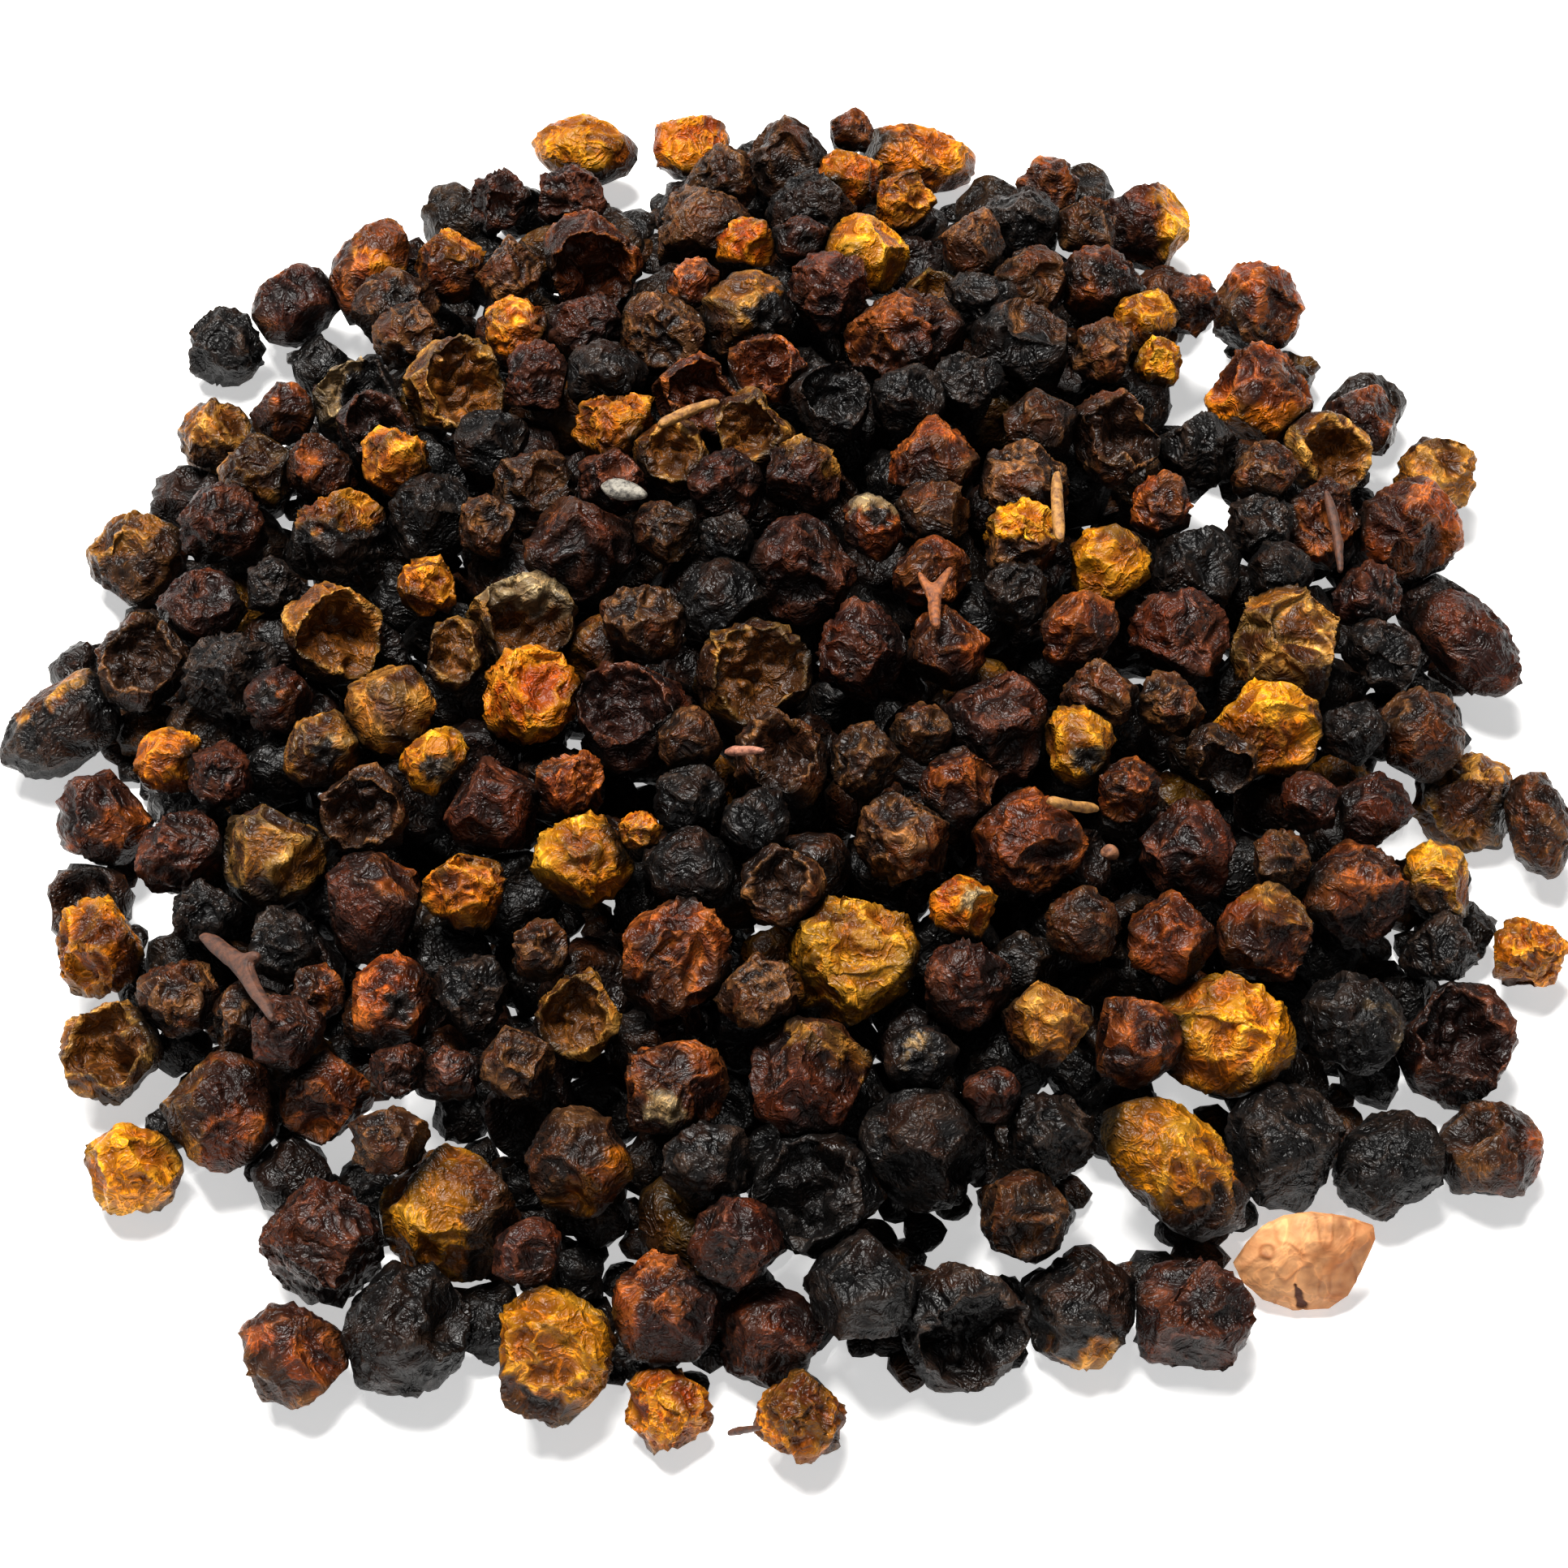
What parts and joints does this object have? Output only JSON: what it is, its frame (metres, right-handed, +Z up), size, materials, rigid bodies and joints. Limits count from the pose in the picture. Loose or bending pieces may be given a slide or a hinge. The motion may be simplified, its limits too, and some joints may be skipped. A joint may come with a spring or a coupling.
{
  "type": "heap of dried rowan berries",
  "caption": "Low round heap of dried, wrinkled rowan berries poured loose on a flat surface, with a few bits of stalk and a pale husk among them.",
  "frame": {"origin": "middle of the heap's bounding box, on the surface that it rests on", "axes": "+Z up, +Y away from someone standing in front of the heap, +X to their right"},
  "size_m": [0.0937, 0.1023, 0.017],
  "materials": {
    "berry_skin": "dried, wrinkled skin with a soft sheen, from ochre and orange through rust and dark red to near black",
    "stalk": "dry, matt, finely ridged",
    "husk": "dry, matt, tan",
    "chaff": "dry, matt, grey"
  },
  "bodies": {
    "root": {"berries_rim_back_left_1": "berry_skin", "berries_slope_front_right_1": "berry_skin", "berries_rim_front_left_1": "berry_skin", "berries_rim_back_right_1": "berry_skin", "berries_crown_middle_centre_1": "berry_skin", "berries_rim_front_left_2": "berry_skin", "berries_rim_back_centre_1": "berry_skin", "berries_slope_middle_right_1": "berry_skin", "berries_slope_front_right_2": "berry_skin", "berries_slope_back_centre_1": "berry_skin", "berries_slope_front_right_3": "berry_skin", "berries_slope_front_left_1": "berry_skin", "berries_crown_back_right_1": "berry_skin", "berries_slope_middle_left_1": "berry_skin", "berries_rim_back_left_2": "berry_skin", "berries_slope_middle_left_2": "berry_skin", "berries_rim_back_right_2": "berry_skin", "berries_rim_middle_right_1": "berry_skin", "berries_slope_back_right_1": "berry_skin", "berries_rim_front_left_3": "berry_skin", "berries_core_middle_right_1": "berry_skin", "berries_rim_front_centre_1": "berry_skin", "berries_slope_back_centre_2": "berry_skin", "berries_crown_middle_left_1": "berry_skin", "berries_rim_middle_left_1": "berry_skin", "berries_slope_front_centre_1": "berry_skin", "berries_slope_back_left_1": "berry_skin", "berries_slope_front_right_4": "berry_skin", "berries_slope_back_right_2": "berry_skin", "berries_slope_front_right_5": "berry_skin", "berries_crown_middle_centre_2": "berry_skin", "berries_crown_middle_right_1": "berry_skin", "berries_slope_front_left_2": "berry_skin", "berries_crown_front_centre_1": "berry_skin", "berries_core_back_centre_1": "berry_skin", "berries_slope_front_left_3": "berry_skin", "berries_crown_front_left_1": "berry_skin", "berries_core_back_centre_2": "berry_skin", "berries_crown_middle_centre_3": "berry_skin", "berries_rim_middle_right_2": "berry_skin", "berries_rim_back_right_3": "berry_skin", "berries_slope_middle_right_2": "berry_skin", "berries_crown_middle_left_2": "berry_skin", "berries_slope_middle_left_3": "berry_skin", "berries_slope_back_left_2": "berry_skin", "berries_slope_front_left_4": "berry_skin", "pale_twig": "stalk", "standing_stalk": "stalk", "dark_stalk": "stalk", "short_twig": "stalk", "pink_twig": "stalk", "stalk_knob": "stalk", "front_stalk": "stalk", "forked_twig": "stalk", "branching_twig": "stalk", "pale_husk": "husk", "pale_flake": "chaff"}
  },
  "joints": []
}
